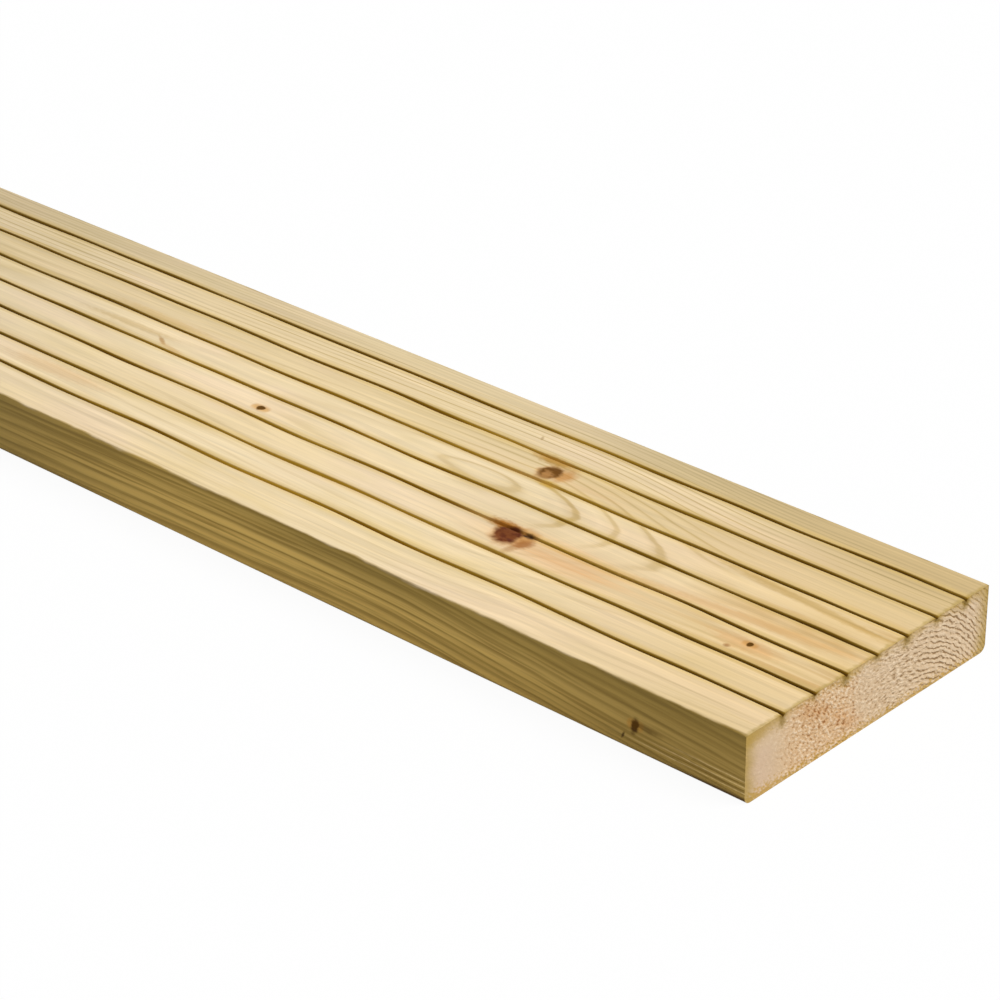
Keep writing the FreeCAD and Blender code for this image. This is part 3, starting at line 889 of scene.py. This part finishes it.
# Floor
# A plain matt sheet under the board, which looks white to the camera, keeps a faint shadow of the board,
# and sends part of the light back up to it. It is clear from below and where it touches, for the underside.
FLOOR_SIDE = 40.0
SHADOW_SHARE = 0.05
PAPER_WHITE = colour("F9F9F9")
BOUNCE_GREY = colour("D7D7D7")
GLOW_WHITE = colour("FFFFFF")
TOUCHING = 2 * MM
floor_mesh = bpy.data.meshes.new("floor")
reach = FLOOR_SIDE / 2
floor_corners = [(-reach, -reach, 0), (reach, -reach, 0), (reach, reach, 0), (-reach, reach, 0)]
floor_mesh.from_pydata(floor_corners, [], [(0, 1, 2, 3)])
floor = bpy.data.objects.new("floor", floor_mesh)
bpy.context.scene.collection.objects.link(floor)


def seen_directly(tree, ray):
    """1 for what the camera sees straight, in a reflection or through something clear, and 0 otherwise."""
    seen = add(tree, "Math MAXIMUM", ray.outputs["Is Camera Ray"], ray.outputs["Is Glossy Ray"])
    return add(tree, "Math MAXIMUM", seen, ray.outputs["Is Transmission Ray"])


paper = bpy.data.materials.new("matt_paper")
tree = empty_tree(paper)
ray = add(tree, "LightPath")
seen = seen_directly(tree, ray)
white = add(tree, "Emission", GLOW_WHITE, 1.0)
shaded = add(tree, "BsdfDiffuse", PAPER_WHITE)
shown = add(tree, "MixShader", SHADOW_SHARE, white, shaded)
bounced = add(tree, "BsdfDiffuse", BOUNCE_GREY)
sheet = add(tree, "MixShader", seen, bounced, shown)
from_below = add(tree, "NewGeometry").outputs["Backfacing"]
against = add(tree, "Math LESS_THAN", ray.outputs["Ray Length"], TOUCHING)
gone = add(tree, "Math MAXIMUM", from_below, against)
sheet = add(tree, "MixShader", gone, sheet, add(tree, "BsdfTransparent"))
add(tree, "OutputMaterial", Surface=sheet)
floor_mesh.materials.append(paper)

# Studio light
# A pale room gives some of the light, and one broad soft lamp above the near end gives the rest, so that
# the face is brightest, the end a little less and the front edge in soft shade.
ROOM_LIGHT = 0.40
LAMP_LIGHT = 0.75
LAMP_FROM = Vector((0.55, 0.25, 0.8))
LAMP_SPREAD = math.radians(35)

room = bpy.data.worlds.new("pale_room")
bpy.context.scene.world = room
tree = empty_tree(room)
seen = seen_directly(tree, add(tree, "LightPath"))
brightness = add(tree, "MapRange", seen, 0.0, 1.0, ROOM_LIGHT, 1.0)
add(tree, "OutputWorld", Surface=add(tree, "Background", GLOW_WHITE, brightness))

lamp_data = bpy.data.lights.new("soft_lamp", "SUN")
lamp_data.energy = LAMP_LIGHT * math.pi
lamp_data.angle = LAMP_SPREAD
lamp = bpy.data.objects.new("soft_lamp", lamp_data)
lamp.rotation_euler = LAMP_FROM.to_track_quat("Z", "Y").to_euler()
bpy.context.scene.collection.objects.link(lamp)

# Camera
# It looks down along the board from beyond its near front corner, close enough for the left of the view
# to cut the board.
CAMERA_TARGET = Vector((722.8, -1.35, THICKNESS)) * MM
CAMERA_DISTANCE = 1.2816
CAMERA_AZIMUTH = math.radians(43.105)
CAMERA_ELEVATION = math.radians(28.144)
CAMERA_ROLL = math.radians(-0.579)
SENSOR_MM = 36
LENS_MM = 120.45
camera_data = bpy.data.cameras.new("camera")
camera_data.sensor_width = SENSOR_MM
camera_data.lens = LENS_MM
camera = bpy.data.objects.new("camera", camera_data)
bpy.context.scene.collection.objects.link(camera)
level = Vector((math.cos(CAMERA_AZIMUTH), math.sin(CAMERA_AZIMUTH), 0))
back = Vector((math.sin(CAMERA_AZIMUTH), -math.cos(CAMERA_AZIMUTH), 0)) * math.cos(CAMERA_ELEVATION)
back.z = math.sin(CAMERA_ELEVATION)
right = level * math.cos(CAMERA_ROLL) + back.cross(level) * math.sin(CAMERA_ROLL)
camera.matrix_world = Matrix((right, back.cross(right), back)).transposed().to_4x4()
camera.location = CAMERA_TARGET + back * CAMERA_DISTANCE
bpy.context.scene.camera = camera
bpy.context.scene.view_settings.view_transform = "Standard"
